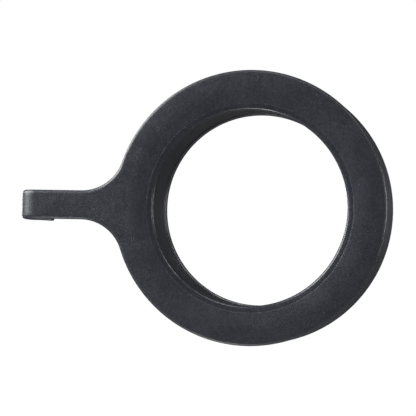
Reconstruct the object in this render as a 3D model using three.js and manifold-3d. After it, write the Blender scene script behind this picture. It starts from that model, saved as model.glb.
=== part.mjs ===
// Slip-on fence insulator: a deep ring, face to the front, with a strap and a J-shaped hook at its
// left that hangs it on a fence wire. Three moulded pieces: the front plate with its strap and hook,
// the cored collar behind it, and the sleeve through the bore that clamps the two together.
// Millimetres, +Z up, the ring's axis along Y with the front face towards -Y, the strap towards -X.
// The origin is the middle of the hook's hollow, where the wire sits.
import * as THREE from "three";
import { mergeVertices } from "three/addons/utils/BufferGeometryUtils.js";
import Module from "manifold-3d";

// Driving dimensions.
const BORE_R = 24.5; // clear radius of the sleeve, for a 48.3 mm tube with room to slide
const PLATE_R = 34.5; // outside radius of the front plate
const COLLAR_R = 34.3; // the collar sits a little inside the plate's rim
const DEPTH = 20; // ring, front face to back face
const PLATE_T = 3.4; // front plate at the ring
const STRAP_T = 2; // strap, fillets and hook
const STRAP_W = 7.4;
const REACH = 55; // from the hook's middle to the ring's axis
const FILLET_R = 11; // concave flare between strap and ring
const GAP = 4.4; // clear space inside the hook, front to back
const HOOK_LEG = 2.5; // straight part of the hook's return leg
const HOOK_SET = 0.35; // how far the leg's tip is set down below the strap
const TURN_SHARE = 0.6; // how much of that set comes in the half turn
const EDGE = 0.8; // moulded edge rounding
const SEAM = 0.25; // line that shows between plate and collar
const CLEAR = 0.15; // round the sleeve, between nested turned faces

const SLEEVE_T = 1.1; // sleeve wall
const FLANGE_R = 26.4; // rounded bead at the sleeve's front
const FLANGE_T = 1.2;
const FLARE_R = 26.8; // flared rim at the sleeve's back
const FLARE_T = 1.2;
const FLARE_ROUND = 0.4; // outside edge of the flared rim
const LAND_GAP = 0.3; // under the bead and under the flared rim
const TONGUE_IN = 29.2; // centring tongue on the collar's front
const TONGUE_OUT = 31.2;
const TONGUE_H = 0.9;
const KEYS = 4; // bridges in the plate's groove that stop the plate turning
const KEY_W = 3;
const POCKETS = 24; // coring pockets in the collar's back
const POCKET_IN = 28.3;
const POCKET_OUT = 32.1;
const POCKET_DEPTH = 12;
const RIB_T = 1.4;

const TURN_STEPS = 96; // facets round each turned piece
const ROUND_STEPS = 3; // facets across a moulded edge
const STRAP_STEPS = 8; // facets along each flare of the strap
const HOOK_STEPS = 14; // facets along each arc of the hook
const POCKET_STEPS = 3; // facets along a pocket's long walls
const WELD = 1e-4; // points closer than this are one point
const FINE = 0.004; // slivers thinner than this are dropped where solids were joined
const OVERLAP = 3 * EDGE; // how far joined pieces run into each other before they are merged
const OVERRUN = 1; // how far a cutting block runs past the face it opens

// Places along Y, measured from the hook's middle.
const FRONT = -GAP / 2 - STRAP_T;
const BACK = FRONT + DEPTH;
const PLATE_BACK = FRONT + PLATE_T;
const COLLAR_FRONT = PLATE_BACK + SEAM;
const BORE_WALL_R = BORE_R + SLEEVE_T + CLEAR;

const wasm = await Module();
wasm.setup();

// Closed solid of a three.js geometry.
function solid(geometry) {
  const bare = geometry.clone();
  bare.deleteAttribute("normal");
  bare.deleteAttribute("uv");
  const merged = mergeVertices(bare, WELD);
  return new wasm.Manifold(
    new wasm.Mesh({
      numProp: 3,
      vertProperties: new Float32Array(merged.attributes.position.array),
      triVerts: new Uint32Array(merged.index.array),
    }),
  );
}

// Geometry of a finished solid.
function geometryOf(body) {
  const mesh = body.asOriginal().simplify(FINE).getMesh();
  return new THREE.BufferGeometry()
    .setAttribute("position", new THREE.BufferAttribute(mesh.vertProperties, 3))
    .setIndex(new THREE.BufferAttribute(mesh.triVerts, 1));
}

// Points of a quarter round about (r, y), from one angle to another, in degrees.
function arc(r, y, radius, from, to, steps = ROUND_STEPS) {
  return Array.from({ length: steps + 1 }, (_, i) => {
    const a = THREE.MathUtils.degToRad(from + ((to - from) * i) / steps);
    return new THREE.Vector2(r + radius * Math.cos(a), y + radius * Math.sin(a));
  });
}

const at = (r, y) => new THREE.Vector2(r, y);

// Ring turned about the Y axis from a closed profile of (radius, y) points.
function turned(profile) {
  return solid(new THREE.LatheGeometry([...profile, profile[0]], TURN_STEPS));
}

// Outline as straight pieces, without the doubled points where two arcs meet.
function plainOutline(path, steps) {
  const points = path.getPoints(steps);
  const close = (a, b) => a.distanceTo(b) < WELD;
  const kept = points.filter((point, i) => i === 0 || !close(point, points[i - 1]));
  if (close(kept[0], kept[kept.length - 1])) kept.pop();
  return new THREE.Shape(kept);
}

// Flat shape drawn in X and Z, running from y to y + depth.
function slab(path, y, depth, options) {
  const plain = { depth, bevelEnabled: false, curveSegments: STRAP_STEPS, ...options };
  const shape = plainOutline(path, plain.curveSegments);
  const geometry = new THREE.ExtrudeGeometry(shape, plain).rotateX(Math.PI / 2);
  const margin = plain.bevelEnabled ? plain.bevelThickness : 0;
  return solid(geometry.translate(0, y + depth + margin, 0));
}

const rounded = {
  bevelEnabled: true,
  bevelThickness: EDGE,
  bevelSize: EDGE,
  bevelOffset: -EDGE,
  bevelSegments: ROUND_STEPS,
};

// The plate's ring, with the seat of the sleeve's bead in front and the tongue's groove behind.
function plateRing() {
  const bead = FRONT + FLANGE_T + LAND_GAP;
  const groove = PLATE_BACK - TONGUE_H - SEAM;
  return turned([
    at(FLANGE_R + CLEAR, FRONT),
    ...arc(PLATE_R - EDGE, FRONT + EDGE, EDGE, -90, 0),
    at(PLATE_R, PLATE_BACK - SEAM),
    at(PLATE_R - SEAM, PLATE_BACK),
    at(TONGUE_OUT + CLEAR, PLATE_BACK),
    at(TONGUE_OUT + CLEAR, groove),
    at(TONGUE_IN - CLEAR, groove),
    at(TONGUE_IN - CLEAR, PLATE_BACK),
    at(BORE_WALL_R, PLATE_BACK),
    at(BORE_WALL_R, bead),
    at(FLANGE_R + CLEAR, bead),
  ]);
}

// Outline of the strap and its two flares, in the ring's own X and Z; it ends inside the ring.
function strapOutline() {
  const half = STRAP_W / 2;
  const off = half + FILLET_R;
  const flareX = -Math.sqrt((PLATE_R + FILLET_R) ** 2 - off ** 2);
  const lean = Math.atan2(off, -flareX);
  const shape = new THREE.Shape();
  shape.moveTo(-REACH, -half);
  shape.lineTo(flareX, -half);
  shape.absarc(flareX, -off, FILLET_R, Math.PI / 2, lean, true);
  shape.absarc(0, 0, TONGUE_OUT + EDGE, lean - Math.PI, Math.PI - lean, true);
  shape.absarc(flareX, off, FILLET_R, -lean, -Math.PI / 2, true);
  shape.lineTo(-REACH, half);
  return shape;
}

// The J of the hook, seen along Z about its own middle: strap, half turn, return leg.
function hookProfile() {
  const inner = GAP / 2;
  const outer = inner + STRAP_T;
  const tip = STRAP_T / 2;
  const shape = new THREE.Shape();
  shape.moveTo(OVERLAP, -outer);
  shape.lineTo(OVERLAP, -inner);
  shape.absarc(0, 0, inner, -Math.PI / 2, Math.PI / 2, true);
  shape.absarc(HOOK_LEG, inner + tip, tip, -Math.PI / 2, Math.PI / 2, false);
  shape.absarc(0, 0, outer, Math.PI / 2, -Math.PI / 2, false);
  return shape;
}

// The hook as wide as the strap, its return leg sinking evenly from the half turn to the tip.
function hook() {
  const options = { ...rounded, depth: STRAP_W - 2 * EDGE };
  const geometry = new THREE.ExtrudeGeometry(plainOutline(hookProfile(), HOOK_STEPS), options);
  geometry.translate(0, 0, EDGE - STRAP_W / 2);
  const place = geometry.attributes.position;
  const share = (value, full) => THREE.MathUtils.clamp(value / full, 0, 1);
  for (let i = 0; i < place.count; i += 1) {
    const turn = share(place.getY(i) + GAP / 2, GAP);
    const leg = place.getY(i) > 0 ? share(place.getX(i), HOOK_LEG) : 0;
    const sunk = HOOK_SET * (TURN_SHARE * turn + (1 - TURN_SHARE) * leg);
    place.setZ(i, place.getZ(i) - sunk);
  }
  return solid(geometry);
}

// Blocks across the tongue's circle, one for each key.
function keyBlocks(width, y, height) {
  return Array.from({ length: KEYS }, (_, i) => {
    const long = TONGUE_OUT - TONGUE_IN + OVERRUN;
    const block = new THREE.BoxGeometry(long, height, width);
    block.translate((TONGUE_IN + TONGUE_OUT) / 2, y + height / 2, 0);
    return solid(block.rotateY(((i + 0.5) * 2 * Math.PI) / KEYS));
  });
}

function frontPlate() {
  const strap = slab(strapOutline(), FRONT, STRAP_T - 2 * EDGE, rounded);
  const bridge = keyBlocks(KEY_W, PLATE_BACK - 2 * TONGUE_H, 2 * TONGUE_H);
  const ring = bridge.reduce((body, key) => body.add(key), plateRing().add(strap));
  return geometryOf(ring.add(hook().translate([-REACH, 0, 0])));
}

// One coring pocket, open at the back.
function pocket() {
  const middle = (POCKET_IN + POCKET_OUT) / 2;
  const half = Math.PI / POCKETS - RIB_T / 2 / middle;
  const shape = new THREE.Shape();
  shape.absarc(0, 0, POCKET_OUT, -half, half, false);
  shape.absarc(0, 0, POCKET_IN, half, -half, true);
  return slab(shape, BACK - POCKET_DEPTH, POCKET_DEPTH + OVERRUN, { curveSegments: POCKET_STEPS });
}

function collarBlank() {
  const tongue = COLLAR_FRONT - TONGUE_H;
  const seat = BACK - FLARE_T - LAND_GAP;
  return turned([
    at(BORE_WALL_R, COLLAR_FRONT),
    at(TONGUE_IN, COLLAR_FRONT),
    at(TONGUE_IN, tongue),
    at(TONGUE_OUT, tongue),
    at(TONGUE_OUT, COLLAR_FRONT),
    at(COLLAR_R - SEAM, COLLAR_FRONT),
    at(COLLAR_R, COLLAR_FRONT + SEAM),
    ...arc(COLLAR_R - EDGE, BACK - EDGE, EDGE, 0, 90),
    at(FLARE_R + CLEAR, BACK),
    at(FLARE_R + CLEAR, seat),
    at(BORE_WALL_R, seat),
  ]);
}

function collar() {
  let body = collarBlank();
  const room = 2 * CLEAR;
  for (const key of keyBlocks(KEY_W + room, COLLAR_FRONT - 2 * TONGUE_H, 2 * TONGUE_H)) {
    body = body.subtract(key);
  }
  const hole = pocket();
  for (let i = 0; i < POCKETS; i += 1) {
    body = body.subtract(hole.rotate([0, ((i + 0.5) * 360) / POCKETS, 0]));
  }
  return geometryOf(body);
}

// The sleeve: a rounded bead in front, a thin wall, and a rim flared out at the back.
function boreSleeve() {
  const wall = BORE_R + SLEEVE_T;
  const bead = (FLANGE_R - BORE_R) / 2;
  const flareStart = BACK - FLARE_T;
  return geometryOf(
    turned([
      ...arc(BORE_R + bead, FRONT + bead, bead, 180, 360, 2 * ROUND_STEPS),
      at(FLANGE_R, FRONT + FLANGE_T),
      at(wall, FRONT + FLANGE_T),
      at(wall, flareStart),
      at(FLARE_R, flareStart),
      ...arc(FLARE_R - FLARE_ROUND, BACK - FLARE_ROUND, FLARE_ROUND, 0, 90),
      ...arc(BORE_R + EDGE, BACK - EDGE, EDGE, 90, 180),
    ]),
  );
}

function piece(name, geometry, color, roughness) {
  const material = new THREE.MeshStandardMaterial({ color, roughness, metalness: 0 });
  const mesh = new THREE.Mesh(geometry, material);
  mesh.name = name;
  return mesh;
}

// Turned pieces are made about the Y axis and set on the ring's axis.
const ring = new THREE.Group();
ring.position.setX(REACH);
ring.add(piece("front_plate_with_hook", frontPlate(), 0x303235, 0.48));
ring.add(piece("cored_collar", collar(), 0x2b2d30, 0.52));
ring.add(piece("bore_sleeve", boreSleeve(), 0x28292c, 0.42));

const insulator = new THREE.Group();
insulator.add(ring);
export default insulator;
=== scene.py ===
# %% [markdown]
# # Slip-on fence insulator
# A black moulded ring that goes round a fence tube, rope or cable. A flat strap runs out of its face
# to the left and ends in a J-shaped hook that hangs on a fence wire. Three pieces make it up: the
# front plate with its strap and hook, the cored collar behind the plate, and the sleeve that lines
# the bore and clamps the other two together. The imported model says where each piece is, and this
# lesson makes the fine surface of each one.

import math

import bmesh
import bpy
from mathutils import Matrix, Vector


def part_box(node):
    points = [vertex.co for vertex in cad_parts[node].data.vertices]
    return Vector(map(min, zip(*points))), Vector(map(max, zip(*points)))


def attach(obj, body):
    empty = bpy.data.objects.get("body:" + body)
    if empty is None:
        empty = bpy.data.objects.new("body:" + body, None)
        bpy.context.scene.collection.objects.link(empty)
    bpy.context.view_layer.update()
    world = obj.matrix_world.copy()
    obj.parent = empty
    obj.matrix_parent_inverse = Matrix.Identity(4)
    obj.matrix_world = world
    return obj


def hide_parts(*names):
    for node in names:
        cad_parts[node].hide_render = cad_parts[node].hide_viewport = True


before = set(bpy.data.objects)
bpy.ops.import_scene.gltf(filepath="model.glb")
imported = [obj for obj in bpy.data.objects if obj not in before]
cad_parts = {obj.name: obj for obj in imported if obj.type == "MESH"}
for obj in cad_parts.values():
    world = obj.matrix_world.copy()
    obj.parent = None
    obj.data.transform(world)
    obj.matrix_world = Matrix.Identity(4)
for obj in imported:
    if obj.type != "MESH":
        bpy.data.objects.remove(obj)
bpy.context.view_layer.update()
MM = 0.001

# %% [markdown]
# ## Places from the frame
# Everything is turned about the ring's axis, which runs along Y. The sleeve's box gives that axis,
# the plate's box gives the front face, and the collar's box gives the back face. The origin of the
# frame is the middle of the hook's hollow.

# %% Read the main places
plate_lo, plate_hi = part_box("front_plate_with_hook")
collar_lo, collar_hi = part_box("cored_collar")
sleeve_lo, sleeve_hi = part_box("bore_sleeve")
AXIS_X = (sleeve_lo.x + sleeve_hi.x) / 2
AXIS_Z = (sleeve_lo.z + sleeve_hi.z) / 2
FRONT = plate_lo.y
BACK = collar_hi.y
PLATE_R = plate_hi.x - AXIS_X
COLLAR_R = collar_hi.x - AXIS_X
FLARE_R = sleeve_hi.x - AXIS_X
CENTRE = Vector((AXIS_X, 0, AXIS_Z))
Y_AXIS = Vector((0, 1, 0))
print("ring axis, mm:", round(AXIS_X / MM, 2), round(AXIS_Z / MM, 2))
print("outside radius and depth, mm:", round(PLATE_R / MM, 2), round((BACK - FRONT) / MM, 2))

# %% [markdown]
# ## Camera
# A long lens a little to the right of the ring's axis and just below it, so that the bore's wall
# shows at the left and the rim at the right. It is rolled by a little over a degree, which leaves the
# strap not quite level. It comes before the pieces.

# %% Set up the camera
CAMERA_AZIMUTH = math.radians(10.06)
CAMERA_ELEVATION = math.radians(-1.9)
CAMERA_DISTANCE = 0.549
CAMERA_ROLL = math.radians(1.33)
CAMERA_LENS = 187.5  # mm, on a 36 mm sensor
aim = Vector((43.4, 3.3, -0.03)) * MM
towards_camera = Vector(
    (
        math.sin(CAMERA_AZIMUTH) * math.cos(CAMERA_ELEVATION),
        -math.cos(CAMERA_AZIMUTH) * math.cos(CAMERA_ELEVATION),
        math.sin(CAMERA_ELEVATION),
    )
)
camera = bpy.data.objects.new("camera", bpy.data.cameras.new("camera"))
bpy.context.scene.collection.objects.link(camera)
camera.data.lens = CAMERA_LENS
camera.data.sensor_width = 36.0
camera.data.clip_start = 0.01
camera.data.clip_end = 20.0
camera.location = aim + towards_camera * CAMERA_DISTANCE
turn = (-towards_camera).to_track_quat("-Z", "Y").to_matrix() @ Matrix.Rotation(CAMERA_ROLL, 3, "Z")
camera.rotation_euler = turn.to_euler()
bpy.context.scene.camera = camera
print("camera at, mm:", [round(v / MM, 1) for v in camera.location])

# %% [markdown]
# ## Working with sections
# A turned moulding is a section swung round an axis. The section is drawn as one flat face, its
# corners are rounded with a vertex bevel as a toolmaker rounds the corners of a cavity, and then the
# face is dropped and its outline is spun. The same helper serves the plate, the collar and the
# sleeve.

# %% Helpers for sections and pieces
LONGEST_STEP = 0.6 * MM  # straight runs of a section are cut this short, so that shading stays true


def round_off(bm, geom, radius, steps, affect):
    bmesh.ops.bevel(
        bm,
        geom=geom,
        offset=radius,
        offset_type="OFFSET",
        affect=affect,
        segments=steps,
        profile=0.5,
        material=-1,
    )


def radius_of(point):
    return math.hypot(point.x - AXIS_X, point.z - AXIS_Z)


def rounded_section(bm, corners):
    """Outline edges of a section in the X-Y plane, from (radius, y, rounding, steps) corners."""
    verts = [bm.verts.new((AXIS_X + r, y, AXIS_Z)) for r, y, _, _ in corners]
    bm.faces.new(verts)
    for vert, (_, _, rounding, steps) in zip(verts, corners):
        if rounding:
            round_off(bm, [vert], rounding, steps, "VERTICES")
    bmesh.ops.delete(bm, geom=list(bm.faces), context="FACES_ONLY")
    for edge in list(bm.edges):
        cuts = int(edge.calc_length() / LONGEST_STEP)
        if cuts:
            bmesh.ops.subdivide_edges(bm, edges=[edge], cuts=cuts)
    return list(bm.edges)


def spin_about_axis(bm, edges, angle, steps, closed):
    geometry = edges + list(dict.fromkeys(v for e in edges for v in e.verts))
    return bmesh.ops.spin(
        bm,
        geom=geometry,
        cent=CENTRE,
        axis=Y_AXIS,
        angle=angle,
        steps=steps,
        use_merge=closed,
        use_duplicate=False,
    )


def piece_from(bm, name):
    """Finished object of a bmesh, at the origin, with its faces outward and shaded smooth."""
    bmesh.ops.recalc_face_normals(bm, faces=bm.faces)
    mesh = bpy.data.meshes.new(name)
    bm.to_mesh(mesh)
    bm.free()
    mesh.shade_smooth()
    piece = bpy.data.objects.new(name, mesh)
    bpy.context.scene.collection.objects.link(piece)
    print(name, "has", len(mesh.polygons), "faces")
    return piece


def dress(piece, node):
    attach(piece, "root")
    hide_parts(node)


# %% [markdown]
# ## Edge mask
# Rubbed edges, polished corners and caught dust all follow the shape, so each piece carries one
# number per point that says how sharply the surface turns there: above zero on an outside edge,
# below zero in a hollow. It is the mean bend of the edges that meet at the point.

# %% Measure how the surface turns
EDGE_SCALE = 0.9 * MM  # an outside rounding of this radius counts as a full edge


def mark_edges(piece, spread=2, painted_highlight=None):
    """Stores the mask, and adds 1 to it at the points that the given function marks; on the sleeve's lip
    this paints a highlight line.
    """
    bm = bmesh.new()
    bm.from_mesh(piece.data)
    bm.verts.ensure_lookup_table()
    bend = [0.0] * len(bm.verts)
    for edge in bm.edges:
        if len(edge.link_faces) == 2:
            turned = edge.calc_face_angle_signed(0.0) * edge.calc_length()
            for vert in edge.verts:
                bend[vert.index] += turned
    for vert in bm.verts:
        area = sum(face.calc_area() for face in vert.link_faces) / 4
        bend[vert.index] = max(-1.0, min(1.0, bend[vert.index] * EDGE_SCALE / max(2 * area, 1e-12)))
    for _ in range(spread):
        bend = [
            (bend[v.index] + sum(bend[e.other_vert(v).index] for e in v.link_edges) / len(v.link_edges)) / 2
            for v in bm.verts
        ]
    if painted_highlight:
        bend = [value + painted_highlight(vert.co) for value, vert in zip(bend, bm.verts)]
    bm.free()
    layer = piece.data.attributes.new("edge", "FLOAT", "POINT")
    layer.data.foreach_set("value", bend)
    print(piece.name, "edge mask from", round(min(bend), 2), "to", round(max(bend), 2))


# %% [markdown]
# ## Sleeve
# The sleeve is the smooth liner of the bore. In front it ends in a rounded bead that sits in the
# plate's seat, and at the back its rim is flared out over the collar, which clamps the pieces
# together. The bore widens a little from the bead towards the back, and a small lip stands inside
# the flared rim; its step carries a painted highlight, a pale grey line. The section is thin, with
# every free edge rounded, so it is spun in one go.

# %% Spin the sleeve
SLEEVE_WALL = 1.1 * MM
BORE_R = 24.5 * MM
BEAD_R = 25.9 * MM
BEAD_DEPTH = 1.2 * MM
BEAD_LAP = 0.28 * MM  # how far the bead's thin rim laps the rounded edge of its seat
BEAD_FACE = FRONT + 0.52 * MM  # the bead's rim, level with the dished face beside it
FLARE_DEPTH = 1.2 * MM
DRAFT = 0.45 * MM  # how much the bore widens from the bead to the lip inside the flared rim
LIP_R = BORE_R
LIP_Y = BACK - 2.3 * MM  # where the lip steps in
RING_STEPS = 240


def make_sleeve():
    bm = bmesh.new()
    wall = BORE_R + SLEEVE_WALL
    edges = rounded_section(
        bm,
        [
            (BORE_R, BEAD_FACE + 0.32 * MM, 0.7 * MM, 8),
            (BEAD_R + BEAD_LAP, BEAD_FACE, 0.06 * MM, 3),
            (BEAD_R, BEAD_FACE + BEAD_LAP * 1.1, 0.12 * MM, 2),
            (BEAD_R, FRONT + BEAD_DEPTH, 0.1 * MM, 2),
            (wall, FRONT + BEAD_DEPTH, 0.1 * MM, 2),
            (wall, BACK - FLARE_DEPTH, 0.1 * MM, 2),
            (FLARE_R, BACK - FLARE_DEPTH, 0.15 * MM, 2),
            (FLARE_R, BACK, 0.45 * MM, 5),
            (LIP_R, BACK, 0.3 * MM, 5),
            (LIP_R, LIP_Y + 0.2 * MM, 0.12 * MM, 4),
            (BORE_R + DRAFT, LIP_Y, 0.1 * MM, 3),
        ],
    )
    spin_about_axis(bm, edges, 2 * math.pi, RING_STEPS, True)
    return piece_from(bm, "sleeve")


def painted_lip_highlight(point):
    """1 on the step of the lip, where a pale line is painted as a highlight, and 0 elsewhere."""
    on_step = LIP_Y - 0.02 * MM < point.y < LIP_Y + 0.3 * MM
    return 1.0 if on_step and radius_of(point) < BORE_R + 0.95 * DRAFT else 0.0


sleeve = make_sleeve()
# the lip's step is lifted in the edge mask, which paints a highlight line there
mark_edges(sleeve, painted_highlight=painted_lip_highlight)
dress(sleeve, "bore_sleeve")

# %% [markdown]
# ## Collar
# The collar gives the ring its depth. A solid section that thick would sink as it cools, so it is
# cored from the back with 24 pockets and a rib between each two. One sector is enough to model: its
# section is spun through a twenty-fourth of a turn, the middle of its back land is pushed in to make
# the pocket, and the sector is then repeated round the axis and merged.

# %% Build one sector and repeat it
POCKETS = 24
SECTOR_STEPS = 11  # the first and last step of each sector are half of a rib
POCKET_IN = 28.3 * MM
POCKET_OUT = 32.1 * MM
POCKET_DEPTH = 12.0 * MM
MOUTH_ROUND = 0.3 * MM
COLLAR_BORE = BORE_R + SLEEVE_WALL + 0.15 * MM
TONGUE_IN = 29.2 * MM
TONGUE_OUT = 31.2 * MM
TONGUE_HEIGHT = 0.9 * MM
COLLAR_FRONT = collar_lo.y + TONGUE_HEIGHT
FLARE_SEAT = FLARE_R + 0.15 * MM


def collar_sector(bm):
    seat = BACK - FLARE_DEPTH - 0.3 * MM
    edges = rounded_section(
        bm,
        [
            (COLLAR_BORE, COLLAR_FRONT, 0, 0),
            (TONGUE_IN, COLLAR_FRONT, 0, 0),
            (TONGUE_IN, collar_lo.y, 0.15 * MM, 2),
            (TONGUE_OUT, collar_lo.y, 0.15 * MM, 2),
            (TONGUE_OUT, COLLAR_FRONT, 0, 0),
            (COLLAR_R, COLLAR_FRONT, 0.8 * MM, 6),
            (COLLAR_R, BACK, 0.9 * MM, 8),
            (POCKET_OUT, BACK, 0, 0),
            (POCKET_IN, BACK, 0, 0),
            (FLARE_SEAT, BACK, 0.15 * MM, 2),
            (FLARE_SEAT, seat, 0, 0),
            (COLLAR_BORE, seat, 0, 0),
        ],
    )
    spin_about_axis(bm, edges, 2 * math.pi / POCKETS, SECTOR_STEPS, False)
    bmesh.ops.remove_doubles(bm, verts=bm.verts, dist=0.001 * MM)


def push_in_pocket(bm):
    """Sinks the middle of the sector's back land and rounds the pocket's mouth."""
    rib = 2 * math.pi / POCKETS / SECTOR_STEPS
    middle = math.pi / POCKETS

    def in_pocket(face):
        c = face.calc_center_median()
        turn = abs(abs(math.atan2(c.z - AXIS_Z, c.x - AXIS_X)) - middle)
        on_land = POCKET_IN < radius_of(c) < POCKET_OUT and c.y > BACK - 0.01 * MM
        return on_land and turn < middle - rib

    floor = [face for face in bm.faces if in_pocket(face)]
    around = dict.fromkeys(edge for face in floor for edge in face.edges)
    mouth = [edge for edge in around if sum(face in floor for face in edge.link_faces) == 1]
    made = bmesh.ops.extrude_face_region(bm, geom=floor)["geom"]
    bmesh.ops.delete(bm, geom=floor, context="FACES_ONLY")
    sunk = [item for item in made if isinstance(item, bmesh.types.BMVert)]
    bmesh.ops.translate(bm, verts=sunk, vec=(0, -POCKET_DEPTH, 0))
    round_off(bm, [edge for edge in mouth if edge.is_valid], MOUTH_ROUND, 3, "EDGES")


def make_collar():
    bm = bmesh.new()
    collar_sector(bm)
    push_in_pocket(bm)
    sector = list(bm.verts) + list(bm.edges) + list(bm.faces)
    for i in range(1, POCKETS):
        copy = bmesh.ops.duplicate(bm, geom=sector)["geom"]
        verts = [item for item in copy if isinstance(item, bmesh.types.BMVert)]
        turned = Matrix.Rotation(2 * math.pi * i / POCKETS, 3, "Y")
        bmesh.ops.rotate(bm, verts=verts, cent=CENTRE, matrix=turned)
    bmesh.ops.remove_doubles(bm, verts=bm.verts, dist=0.002 * MM)
    return piece_from(bm, "collar")


collar = make_collar()
mark_edges(collar)
dress(collar, "cored_collar")

# %% [markdown]
# ## Front plate, strap and hook
# One moulding, with no line anywhere between ring, strap and hook. It is made the way a pattern
# maker would: simple solids are laid into one another, fused into a single skin by a voxel remesh,
# and the skin is smoothed. The ring is a spun section. The strap with its two concave flares is an
# outline drawn with spun arcs and extruded. The hook is the strap's own section swung half round.

# %% Lay out the plate's solids
STRAP_T = 2.0 * MM
STRAP_W = 7.4 * MM
FLARE_FILLET = 11.0 * MM
HOOK_GAP = 4.4 * MM
HOOK_LEG = 2.5 * MM
HOOK_SET = 0.35 * MM
EDGE = 0.85 * MM
PLATE_BACK = FRONT + 3.4 * MM
SEAT_R = BEAD_R + 0.04 * MM
TONGUE_PLAY = 0.15 * MM
FLARE_STEPS = 20
HOOK_STEPS = 36
TIP_STEPS = 6
TIP_TURN = 0.96  # share of a quarter turn by which the tip is rounded, just short of a point


def add_ring(bm):
    part = bmesh.new()
    groove = PLATE_BACK - TONGUE_HEIGHT - 0.25 * MM
    edges = rounded_section(
        part,
        [
            (SEAT_R, FRONT, 0.1 * MM, 2),
            (PLATE_R, FRONT, 0.6 * MM, 6),
            (PLATE_R, PLATE_BACK, 0.7 * MM, 5),
            (TONGUE_OUT + TONGUE_PLAY, PLATE_BACK, 0, 0),
            (TONGUE_OUT + TONGUE_PLAY, groove, 0, 0),
            (TONGUE_IN - TONGUE_PLAY, groove, 0, 0),
            (TONGUE_IN - TONGUE_PLAY, PLATE_BACK, 0, 0),
            (COLLAR_BORE, PLATE_BACK, 0, 0),
            (COLLAR_BORE, FRONT + BEAD_DEPTH + 0.3 * MM, 0, 0),
            (SEAT_R, FRONT + BEAD_DEPTH + 0.3 * MM, 0, 0),
        ],
    )
    spin_about_axis(part, edges, 2 * math.pi, RING_STEPS, True)
    join_into(bm, part)


def join_into(bm, part):
    bmesh.ops.recalc_face_normals(part, faces=part.faces)
    carrier = bpy.data.meshes.new("carrier")
    part.to_mesh(carrier)
    part.free()
    bm.from_mesh(carrier)
    bpy.data.meshes.remove(carrier)


def flare_corner(side):
    """Centre of one flare's arc and its two ends, on the strap and on the ring."""
    edge_z = side * STRAP_W / 2 - AXIS_Z
    centre_z = edge_z + side * FLARE_FILLET
    centre_x = -math.sqrt((PLATE_R + FLARE_FILLET) ** 2 - centre_z**2)
    centre = Vector((AXIS_X + centre_x, FRONT, AXIS_Z + centre_z))
    on_strap = centre - Vector((0, 0, side * FLARE_FILLET))
    to_ring = Vector((-centre_x, 0, -centre_z)).normalized()
    return centre, on_strap, centre + to_ring * FLARE_FILLET


def add_strap(bm):
    """Strap and flares: half the outline is swept from the strap's end, and a face fills it."""
    part = bmesh.new()
    inner = 30.0 * MM
    chain = []
    for side in (1, -1):
        centre, on_strap, on_ring = flare_corner(side)
        start = part.verts.new(Vector((0, FRONT, side * STRAP_W / 2)))
        tangent = part.verts.new(on_strap)
        swing = (on_strap - centre).angle(on_ring - centre)
        arc = bmesh.ops.spin(
            part,
            geom=[tangent],
            cent=centre,
            axis=Y_AXIS,
            angle=-side * swing,
            steps=FLARE_STEPS,
            use_duplicate=False,
        )
        inward = (Vector((AXIS_X, FRONT, AXIS_Z)) - on_ring).normalized()
        end = part.verts.new(on_ring + inward * (PLATE_R - inner))
        chain.append((start, tangent, arc["geom_last"][0], end))
    for start, tangent, last, end in chain:
        part.edges.new((start, tangent))
        part.edges.new((last, end))
    part.edges.new((chain[0][0], chain[1][0]))
    part.edges.new((chain[0][3], chain[1][3]))
    bmesh.ops.edgeloop_fill(part, edges=list(part.edges))
    face = list(part.faces)
    made = bmesh.ops.extrude_face_region(part, geom=face)["geom"]
    moved = [item for item in made if isinstance(item, bmesh.types.BMVert)]
    bmesh.ops.translate(part, verts=moved, vec=(0, STRAP_T, 0))
    bmesh.ops.recalc_face_normals(part, faces=part.faces)
    rims = [e for e in part.edges if abs(e.verts[0].co.y - e.verts[1].co.y) < 0.01 * MM]
    round_off(part, rims, EDGE, 5, "EDGES")
    join_into(bm, part)


def add_hook(bm):
    """The strap's section, swung half round the hook's middle, then drawn out to a rounded tip."""
    part = bmesh.new()
    overlap = 3 * MM
    middle = FRONT + STRAP_T / 2
    bmesh.ops.create_grid(part, x_segments=1, y_segments=1, size=0.5)
    bmesh.ops.scale(part, vec=(STRAP_T, STRAP_W, 1), verts=part.verts)
    round_off(part, list(part.verts), EDGE, 5, "VERTICES")
    stand = Matrix(((0, 0, 1), (1, 0, 0), (0, 1, 0)))
    bmesh.ops.transform(part, matrix=stand.to_4x4(), verts=part.verts)
    bmesh.ops.translate(part, vec=(overlap, middle, 0), verts=part.verts)
    section = list(part.faces)
    made = bmesh.ops.extrude_face_region(part, geom=section)["geom"]
    moved = [v for v in made if isinstance(v, bmesh.types.BMVert)]
    bmesh.ops.translate(part, vec=(-overlap, 0, 0), verts=moved)
    tip = [f for f in made if isinstance(f, bmesh.types.BMFace)]
    turned = bmesh.ops.spin(
        part,
        geom=tip,
        cent=(0, 0, 0),
        axis=(0, 0, 1),
        angle=-math.pi,
        steps=HOOK_STEPS,
        use_duplicate=False,
    )
    tip = [f for f in turned["geom_last"] if isinstance(f, bmesh.types.BMFace)]
    tip = draw_out(part, tip, HOOK_LEG, 1.0)
    for i in range(1, TIP_STEPS + 1):
        before = math.pi / 2 * (i - 1) / TIP_STEPS * TIP_TURN
        now = math.pi / 2 * i / TIP_STEPS * TIP_TURN
        forward = STRAP_T / 2 * (math.sin(now) - math.sin(before))
        tip = draw_out(part, tip, forward, math.cos(now) / math.cos(before))
    # the extrusions leave copies of the section inside the hook, and only its two end faces stay
    inside = [f for f in part.faces if len(f.verts) > 4 and f not in tip and f not in section]
    bmesh.ops.delete(part, geom=inside, context="FACES_ONLY")
    for vert in part.verts:
        turn = min(max((vert.co.y + HOOK_GAP / 2) / HOOK_GAP, 0), 1)
        leg = min(max(vert.co.x / HOOK_LEG, 0), 1) if vert.co.y > 0 else 0
        vert.co.z -= HOOK_SET * (0.6 * turn + 0.4 * leg)
    join_into(bm, part)


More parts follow.
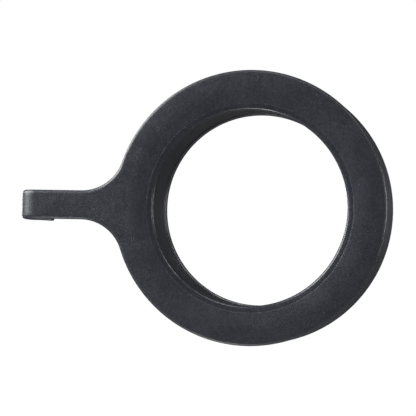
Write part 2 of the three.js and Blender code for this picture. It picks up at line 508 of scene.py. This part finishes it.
def draw_out(bm, faces, forward, thin):
    """Extrudes the leg's end face forward and thins it about its own middle."""
    made = bmesh.ops.extrude_face_region(bm, geom=faces)["geom"]
    bmesh.ops.delete(bm, geom=faces, context="FACES_ONLY")
    verts = [item for item in made if isinstance(item, bmesh.types.BMVert)]
    bmesh.ops.translate(bm, vec=(forward, 0, 0), verts=verts)
    middle = sum((v.co for v in verts), Vector()) / len(verts)
    bmesh.ops.scale(bm, vec=(1, thin, 1), space=Matrix.Translation(-middle), verts=verts)
    return [item for item in made if isinstance(item, bmesh.types.BMFace)]


# %% [markdown]
# ## Fuse and dish the plate
# The voxel remesh keeps only the outside of the solids that lie in one another. The ring's face is
# dished: from a level band near the rim it falls by half a millimetre towards the bore, and by much
# less towards the rim, which makes the light slide across it. The dish is pushed in after the
# remesh, on the fine even mesh, and the fall at the rim fades out where the strap leaves the ring so
# that the two stay one surface. Four small dents in the rim are marks of wear.

# %% Fuse the solids
VOXEL = 0.26 * MM
SMOOTHINGS = 4
DISH_IN = 28.4 * MM  # inside this radius the face falls towards the bore at one slope
DISH_OUT = 30.8 * MM  # outside this one it is level, and it eases over between the two
DISH_SLOPE = 0.15
SHOULDER = 0.16 * MM  # how far the face falls away by the outside rim
NICKS = ((69.4, 0.75), (55.5, 0.6), (301.0, 0.5), (204.0, 0.45))  # degrees round the rim, size in mm


def fused(piece, voxel):
    remesh = piece.modifiers.new("fuse", "REMESH")
    remesh.mode = "VOXEL"
    remesh.voxel_size = voxel
    depsgraph = bpy.context.evaluated_depsgraph_get()
    skin = bpy.data.meshes.new_from_object(piece.evaluated_get(depsgraph))
    piece.modifiers.clear()
    piece.data = skin


def smoothstep(low, high, value):
    t = min(max((value - low) / (high - low), 0.0), 1.0)
    return t * t * (3 - 2 * t)


def dish_drop(r, turn):
    """How far the face sits behind its highest line, at a radius and an angle from the strap."""
    span = DISH_OUT - DISH_IN
    into = min(max(DISH_OUT - r, 0.0), span)
    dish = DISH_SLOPE * (into**2 / (2 * span) + max(DISH_IN - r, 0.0))
    off_strap = smoothstep(math.radians(14), math.radians(42), turn)
    out = max(r - DISH_OUT, 0.0) / (PLATE_R - DISH_OUT)
    return dish + SHOULDER * out**2 * off_strap


def dish_and_nick(bm):
    for vert in bm.verts:
        r = radius_of(vert.co)
        depth = (vert.co.y - FRONT) / (PLATE_BACK - FRONT)
        if r < PLATE_R + 0.2 * MM and depth < 0.95:
            turn = math.pi - abs(math.atan2(vert.co.z - AXIS_Z, vert.co.x - AXIS_X))
            vert.co.y += dish_drop(min(r, PLATE_R), turn) * (1 - depth)
        for degrees, size in NICKS:
            a = math.radians(degrees)
            out = Vector((math.cos(a), 0, math.sin(a)))
            place = Vector((AXIS_X, FRONT + 0.3 * MM, AXIS_Z)) + out * PLATE_R
            near = 1 - (vert.co - place).length / (size * MM)
            if near > 0:
                vert.co -= out * (0.4 * size * MM * near * near)


def make_plate():
    bm = bmesh.new()
    add_ring(bm)
    add_strap(bm)
    add_hook(bm)
    plate = piece_from(bm, "face_plate")
    fused(plate, VOXEL)
    bm = bmesh.new()
    bm.from_mesh(plate.data)
    for _ in range(SMOOTHINGS):
        bmesh.ops.smooth_vert(
            bm, verts=bm.verts, factor=0.5, use_axis_x=True, use_axis_y=True, use_axis_z=True
        )
    dish_and_nick(bm)
    bm.to_mesh(plate.data)
    bm.free()
    plate.data.shade_smooth()
    print("plate skin has", len(plate.data.polygons), "faces")
    return plate


plate = make_plate()
mark_edges(plate, spread=3)
dress(plate, "front_plate_with_hook")

# %% [markdown]
# ## Finish: effects shared by the three mouldings
# The pieces are one kind of black weatherproof plastic, so they share their effects, each kept in a
# node group with named inputs: a fine spark-eroded grain from the mould, a slow cloudiness of the
# surface, hairline scratches from handling, specks of dust, and rubbed outside edges. Every group
# works in the piece's own coordinates, in metres, so a grain of a quarter of a millimetre stays one.

# %% Helpers for node groups
def node(tree, kind, links=None, **values):
    """Adds a node, sets its properties and its unlinked inputs, and joins the linked ones."""
    made = tree.nodes.new(kind)
    inputs = values.pop("inputs", {})
    for name, value in values.items():
        setattr(made, name, value)
    for name, value in inputs.items():
        made.inputs[name].default_value = value
    for name, source in (links or {}).items():
        tree.links.new(source, made.inputs[name])
    return made


def new_group(name, inputs, outputs):
    tree = bpy.data.node_groups.new(name, "ShaderNodeTree")
    for label, kind, value in inputs:
        socket = tree.interface.new_socket(label, in_out="INPUT", socket_type=kind)
        if value is not None:
            socket.default_value = value
    for label, kind in outputs:
        tree.interface.new_socket(label, in_out="OUTPUT", socket_type=kind)
    return tree, tree.nodes.new("NodeGroupInput").outputs, tree.nodes.new("NodeGroupOutput").inputs


def ranged(tree, source, low, high, to_low=0.0, to_high=1.0):
    limits = {"From Min": low, "From Max": high, "To Min": to_low, "To Max": to_high}
    given = {"Value": source}
    made = node(tree, "ShaderNodeMapRange", given, interpolation_type="SMOOTHSTEP", inputs=limits)
    return made.outputs["Result"]


def sums(tree, operation, first, second):
    made = tree.nodes.new("ShaderNodeMath")
    made.operation = operation
    for socket, value in zip(made.inputs, (first, second)):
        if isinstance(value, (int, float)):
            socket.default_value = value
        else:
            tree.links.new(value, socket)
    return made.outputs[0]


def noise_at(tree, vector, scale, detail):
    made = node(tree, "ShaderNodeTexNoise", {"Vector": vector}, inputs={"Scale": scale, "Detail": detail})
    return made.outputs["Fac"]


# %% Grain from the mould
def build_grain():
    """Height of a fine pebbled mould texture over a slower unevenness; Size is one pebble, in metres."""
    inputs = [("Vector", "NodeSocketVector", None), ("Size", "NodeSocketFloat", 0.0003)]
    tree, given, out = new_group("mould_grain", inputs, [("Height", "NodeSocketFloat")])
    often = sums(tree, "DIVIDE", 1.0, given["Size"])
    joined = {"Vector": given["Vector"], "Scale": often}
    pebbles = node(tree, "ShaderNodeTexVoronoi", joined, feature="SMOOTH_F1", inputs={"Smoothness": 0.6})
    fine = node(tree, "ShaderNodeTexNoise", joined, inputs={"Detail": 3.0, "Roughness": 0.6})
    slow = noise_at(tree, given["Vector"], 420.0, 2.0)
    pebbled = sums(tree, "MULTIPLY", pebbles.outputs["Distance"], 0.55)
    grain = sums(tree, "ADD", pebbled, fine.outputs["Fac"])
    tree.links.new(sums(tree, "ADD", grain, sums(tree, "MULTIPLY", slow, 1.6)), out["Height"])
    return tree


# %% Cloudy colour of the plastic
def build_cloud():
    """A slow mottle between a deep and a pale tone, with a finer mottle laid over it."""
    inputs = [
        ("Vector", "NodeSocketVector", None),
        ("Deep", "NodeSocketColor", (0.02, 0.02, 0.02, 1)),
        ("Pale", "NodeSocketColor", (0.04, 0.04, 0.04, 1)),
        ("Size", "NodeSocketFloat", 0.006),
    ]
    outputs = [("Color", "NodeSocketColor"), ("Mask", "NodeSocketFloat")]
    tree, given, out = new_group("cloudy_plastic", inputs, outputs)
    often = sums(tree, "DIVIDE", 1.0, given["Size"])
    joined = {"Vector": given["Vector"], "Scale": often}
    rough = {"Detail": 4.0, "Roughness": 0.55, "Distortion": 0.6}
    slow = node(tree, "ShaderNodeTexNoise", joined, inputs=rough)
    finer = {"Vector": given["Vector"], "Scale": sums(tree, "MULTIPLY", often, 9.0)}
    fine = node(tree, "ShaderNodeTexNoise", finer, inputs={"Detail": 5.0, "Roughness": 0.65})
    slow_part = sums(tree, "MULTIPLY", slow.outputs["Fac"], 0.35)
    both = sums(tree, "ADD", slow_part, sums(tree, "MULTIPLY", fine.outputs["Fac"], 0.65))
    mask = ranged(tree, both, 0.38, 0.62)
    mix = node(tree, "ShaderNodeMix", {"Factor": mask}, data_type="RGBA")
    tree.links.new(given["Deep"], mix.inputs["A"])
    tree.links.new(given["Pale"], mix.inputs["B"])
    tree.links.new(mix.outputs["Result"], out["Color"])
    tree.links.new(mask, out["Mask"])
    return tree


# %% Hairline scratches
def build_hairlines():
    """Thin broken lines in two directions, from the ridges of a noise drawn out along X or Z."""
    inputs = [("Vector", "NodeSocketVector", None), ("Amount", "NodeSocketFloat", 0.5)]
    tree, given, out = new_group("hairlines", inputs, [("Mask", "NodeSocketFloat")])
    masks = []
    for turn, stretch in ((0.5, (90.0, 900.0, 2600.0)), (-0.9, (2200.0, 900.0, 110.0))):
        drawn = {"Rotation": (0, turn, 0), "Scale": stretch}
        mapped = node(tree, "ShaderNodeMapping", {"Vector": given["Vector"]}, inputs=drawn)
        lines = noise_at(tree, mapped.outputs[0], 1.0, 1.0)
        ridge = sums(tree, "ABSOLUTE", sums(tree, "SUBTRACT", lines, 0.5), 0.0)
        masks.append(ranged(tree, ridge, 0.0, 0.012, 1.0, 0.0))
    some = ranged(tree, noise_at(tree, given["Vector"], 260.0, 2.0), 0.52, 0.66)
    both = sums(tree, "MULTIPLY", sums(tree, "MAXIMUM", *masks), some)
    tree.links.new(sums(tree, "MULTIPLY", both, given["Amount"]), out["Mask"])
    return tree


# %% Dust specks
def build_specks():
    """Small separate specks: the middles of scattered cells, with most cells left out."""
    inputs = [("Vector", "NodeSocketVector", None), ("Spacing", "NodeSocketFloat", 0.0012)]
    tree, given, out = new_group("dust_specks", inputs, [("Mask", "NodeSocketFloat")])
    often = sums(tree, "DIVIDE", 1.0, given["Spacing"])
    joined = {"Vector": given["Vector"], "Scale": often}
    cells = node(tree, "ShaderNodeTexVoronoi", joined, inputs={"Randomness": 1.0})
    pick = node(tree, "ShaderNodeSeparateColor", {"Color": cells.outputs["Color"]})
    dot = ranged(tree, cells.outputs["Distance"], 0.06, 0.17, 1.0, 0.0)
    tree.links.new(sums(tree, "MULTIPLY", dot, ranged(tree, pick.outputs["Red"], 0.74, 0.95)), out["Mask"])
    return tree


# %% Rubbed edges
def build_rub():
    """Where outside edges have been rubbed, broken up so that no edge is rubbed all along."""
    inputs = [
        ("Vector", "NodeSocketVector", None),
        ("Edge", "NodeSocketFloat", 0.0),
        ("Start", "NodeSocketFloat", 0.4),
    ]
    outputs = [("Mask", "NodeSocketFloat"), ("Worn_grey_and_highlight", "NodeSocketFloat"), ("Hollow", "NodeSocketFloat")]
    tree, given, out = new_group("rubbed_edges", inputs, outputs)
    broken = sums(tree, "SUBTRACT", noise_at(tree, given["Vector"], 900.0, 4.0), 0.5)
    lifted = sums(tree, "ADD", given["Edge"], sums(tree, "MULTIPLY", broken, 0.9))
    above = sums(tree, "SUBTRACT", lifted, given["Start"])
    tree.links.new(ranged(tree, above, 0.0, 0.5), out["Mask"])
    # edges worn through to a chalky grey, and the painted highlight on the sleeve's lip, whose edge value
    # is lifted by 1
    tree.links.new(ranged(tree, above, 0.75, 1.2), out["Worn_grey_and_highlight"])
    tree.links.new(ranged(tree, given["Edge"], -0.6, -0.05, 1.0, 0.0), out["Hollow"])
    return tree


grain = build_grain()
cloud = build_cloud()
hairlines = build_hairlines()
specks = build_specks()
rub = build_rub()
print("node groups:", [g.name for g in (grain, cloud, hairlines, specks, rub)])

# %% [markdown]
# ## Finish: the plastic itself
# Black plastic out of a spark-eroded mould is a deep blue-grey with a satin sheen. The colour takes
# the cloudiness, a little pale dust in hollows and specks, a lighter tone on rubbed edges, and a
# painted highlight line on the step of the sleeve's lip. The sheen is uneven: duller where the grain
# is coarse, smoother where it has been handled. Each piece has its own tone, because each comes out
# of a mould of its own.

# %% Build the plastic
WORN_GREY_AND_HIGHLIGHT_TONE = 0.22  # plastic rubbed down to a chalky grey, and the painted highlight line on the sleeve's lip


def tone(level, blue=1.0):
    """A near-black of the given level, cooler as blue goes from 0 to 1."""
    return (level * (1 - 0.1 * blue), level * (1 - 0.02 * blue), level * (1 + 0.34 * blue), 1)


def mixed(tree, factor, under, over):
    made = node(tree, "ShaderNodeMix", {"Factor": factor}, data_type="RGBA")
    tree.links.new(under, made.inputs["A"])
    made.inputs["B"].default_value = over
    return made.outputs["Result"]


def placed(tree, group, links, **inputs):
    made = node(tree, "ShaderNodeGroup", node_tree=group)
    for name, value in inputs.items():
        made.inputs[name].default_value = value
    for name, source in links.items():
        tree.links.new(source, made.inputs[name])
    return made.outputs


def moulded_plastic(name, deep, pale, roughness, polish, pebble, scratch, relief):
    material = bpy.data.materials.new(name)
    material.use_nodes = True
    tree = material.node_tree
    shader = tree.nodes["Principled BSDF"]
    place = node(tree, "ShaderNodeTexCoord").outputs["Object"]
    edge = node(tree, "ShaderNodeAttribute", attribute_name="edge").outputs["Fac"]
    clouds = placed(tree, cloud, {"Vector": place}, Deep=tone(deep), Pale=tone(pale))
    lines = placed(tree, hairlines, {"Vector": place}, Amount=scratch)["Mask"]
    dots = placed(tree, specks, {"Vector": place})["Mask"]
    wear_and_lip_highlight = placed(tree, rub, {"Vector": place, "Edge": edge})
    height = placed(tree, grain, {"Vector": place}, Size=pebble)["Height"]

    # lighter tone on rubbed edges; on the lip's step it is part of the painted highlight
    colour = mixed(tree, sums(tree, "MULTIPLY", wear_and_lip_highlight["Mask"], 0.4), clouds["Color"], tone(pale * 2.4, 0.6))
    colour = mixed(tree, sums(tree, "MULTIPLY", wear_and_lip_highlight["Hollow"], 0.3), colour, tone(pale * 2.0, 0.2))
    # chalky grey on worn-through edges, and the painted highlight line on the sleeve's lip
    colour = mixed(tree, sums(tree, "MULTIPLY", wear_and_lip_highlight["Worn_grey_and_highlight"], 0.8), colour, tone(WORN_GREY_AND_HIGHLIGHT_TONE, 0.2))
    colour = mixed(tree, sums(tree, "MULTIPLY", lines, 0.35), colour, tone(pale * 3.0, 0.4))
    colour = mixed(tree, sums(tree, "MULTIPLY", dots, 0.45), colour, tone(pale * 4.0, 0.2))
    tree.links.new(colour, shader.inputs["Base Color"])

    sheen = ranged(tree, clouds["Mask"], 0.0, 1.0, roughness - 0.05, roughness + 0.06)
    sheen = sums(tree, "SUBTRACT", sheen, sums(tree, "MULTIPLY", wear_and_lip_highlight["Mask"], polish))
    sheen = sums(tree, "ADD", sheen, sums(tree, "MULTIPLY", sums(tree, "ADD", lines, dots), 0.15))
    tree.links.new(sheen, shader.inputs["Roughness"])
    shader.inputs["Specular IOR Level"].default_value = 0.5

    scored = sums(tree, "SUBTRACT", height, sums(tree, "MULTIPLY", lines, 0.8))
    bump = node(tree, "ShaderNodeBump", {"Height": scored}, inputs={"Strength": 1.0, "Distance": relief})
    tree.links.new(bump.outputs["Normal"], shader.inputs["Normal"])
    return material


# piece, name, deep tone, pale tone, roughness, polish of edges, pebble in metres, scratches,
# relief in metres
FINISHES = (
    (plate, "moulded_face", 0.0175, 0.0225, 0.45, 0.05, 0.00030, 0.5, 0.000016),
    (collar, "moulded_collar", 0.021, 0.026, 0.42, 0.15, 0.00034, 0.4, 0.000012),
    (sleeve, "sleeve_plastic", 0.0175, 0.0225, 0.34, 0.07, 0.00022, 0.6, 0.000006),
)
for piece, *values in FINISHES:
    piece.data.materials.clear()
    piece.data.materials.append(moulded_plastic(*values))
    print(piece.name, "finished with", values[0])

# %% [markdown]
# ## Floor and light
# A pale floor well below the ring and seven soft lamps. The key is low at the left and rakes across
# the face, two lamps high in front fill it, and one from the right lights the bore. Two behind the
# object draw a line of light along the bend of the hook and the right rim, and a small one below
# reaches the strap's lower edge. The floor glows faintly for the camera only, so that it looks pale
# from every side without throwing more light on the object.

# %% Stage and lights
FLOOR_RADIUS = 1.5
FLOOR_Z = -0.5
FLOOR_TONE = (0.86, 0.86, 0.86, 1)
bm = bmesh.new()
bmesh.ops.create_circle(bm, cap_ends=True, segments=96, radius=FLOOR_RADIUS)
bmesh.ops.translate(bm, verts=bm.verts, vec=(AXIS_X, 0, FLOOR_Z))
floor = piece_from(bm, "floor")
floor_finish = bpy.data.materials.new("pale_floor")
floor_finish.use_nodes = True
floor_shader = floor_finish.node_tree.nodes["Principled BSDF"]
floor_shader.inputs["Base Color"].default_value = FLOOR_TONE
floor_shader.inputs["Roughness"].default_value = 0.7
floor_shader.inputs["Emission Strength"].default_value = 0.9
floor_path = floor_finish.node_tree.nodes.new("ShaderNodeLightPath")
floor_finish.node_tree.links.new(floor_path.outputs["Is Camera Ray"], floor_shader.inputs["Emission Color"])
floor.data.materials.append(floor_finish)


def area_light(name, place, aim_at, size, power):
    data = bpy.data.lights.new(name, "AREA")
    data.shape = "DISK"
    data.size = size
    data.energy = power
    light = bpy.data.objects.new(name, data)
    light.location = place
    light.rotation_euler = (Vector(aim_at) - Vector(place)).to_track_quat("-Z", "Y").to_euler()
    bpy.context.scene.collection.objects.link(light)


ring_middle = (AXIS_X, 0, AXIS_Z)
hook_middle = (0, 0, 0)
# name, place, what it aims at, size in metres, power in watts
LAMPS = (
    ("key", (AXIS_X - 0.28, -0.08, 0.14), ring_middle, 0.3, 2.5),
    ("top", (AXIS_X + 0.05, -0.3, 0.5), ring_middle, 0.2, 0.75),
    ("top_right", (AXIS_X + 0.33, -0.26, 0.34), ring_middle, 0.13, 0.5),
    ("fill", (AXIS_X + 0.5, -0.3, 0.04), ring_middle, 0.16, 0.42),
    ("left_edge", (-0.16, 0.25, 0.01), hook_middle, 0.12, 0.28),
    ("right_edge", (AXIS_X + 0.3, 0.14, 0.02), ring_middle, 0.16, 0.4),
    ("under_strap", (0.0, -0.05, -0.16), (0.01, 0, 0), 0.06, 0.12),
)
for lamp in LAMPS:
    area_light(*lamp)
print("lamps:", [lamp[0] for lamp in LAMPS])

# %% [markdown]
# ## Surround
# The camera sees a plain white surround. The object is lit by a much dimmer one, which is brighter
# on the camera's side than behind, so that the bore and the back edges stay dark.

# %% Pale surround
GLOW_IN_FRONT = 0.23
GLOW_BEHIND = 0.06
world = bpy.data.worlds.new("pale_surround")
bpy.context.scene.world = world
world.use_nodes = True
nodes, links = world.node_tree.nodes, world.node_tree.links
nodes.clear()
output = nodes.new("ShaderNodeOutputWorld")
seen = nodes.new("ShaderNodeBackground")
seen.inputs["Color"].default_value = (1, 1, 1, 1)
seen.inputs["Strength"].default_value = 1.0
shining = nodes.new("ShaderNodeBackground")
direction = nodes.new("ShaderNodeTexCoord")
split = nodes.new("ShaderNodeSeparateXYZ")
ramp = nodes.new("ShaderNodeMapRange")
ramp.inputs["From Min"].default_value = -0.9
ramp.inputs["From Max"].default_value = 0.3
ramp.inputs["To Min"].default_value = GLOW_IN_FRONT
ramp.inputs["To Max"].default_value = GLOW_BEHIND
path = nodes.new("ShaderNodeLightPath")
mix = nodes.new("ShaderNodeMixShader")
links.new(direction.outputs["Generated"], split.inputs[0])
links.new(split.outputs["Y"], ramp.inputs["Value"])
links.new(ramp.outputs["Result"], shining.inputs["Strength"])
links.new(path.outputs["Is Camera Ray"], mix.inputs["Fac"])
links.new(shining.outputs[0], mix.inputs[1])
links.new(seen.outputs[0], mix.inputs[2])
links.new(mix.outputs[0], output.inputs["Surface"])
bpy.context.scene.view_settings.view_transform = "Standard"
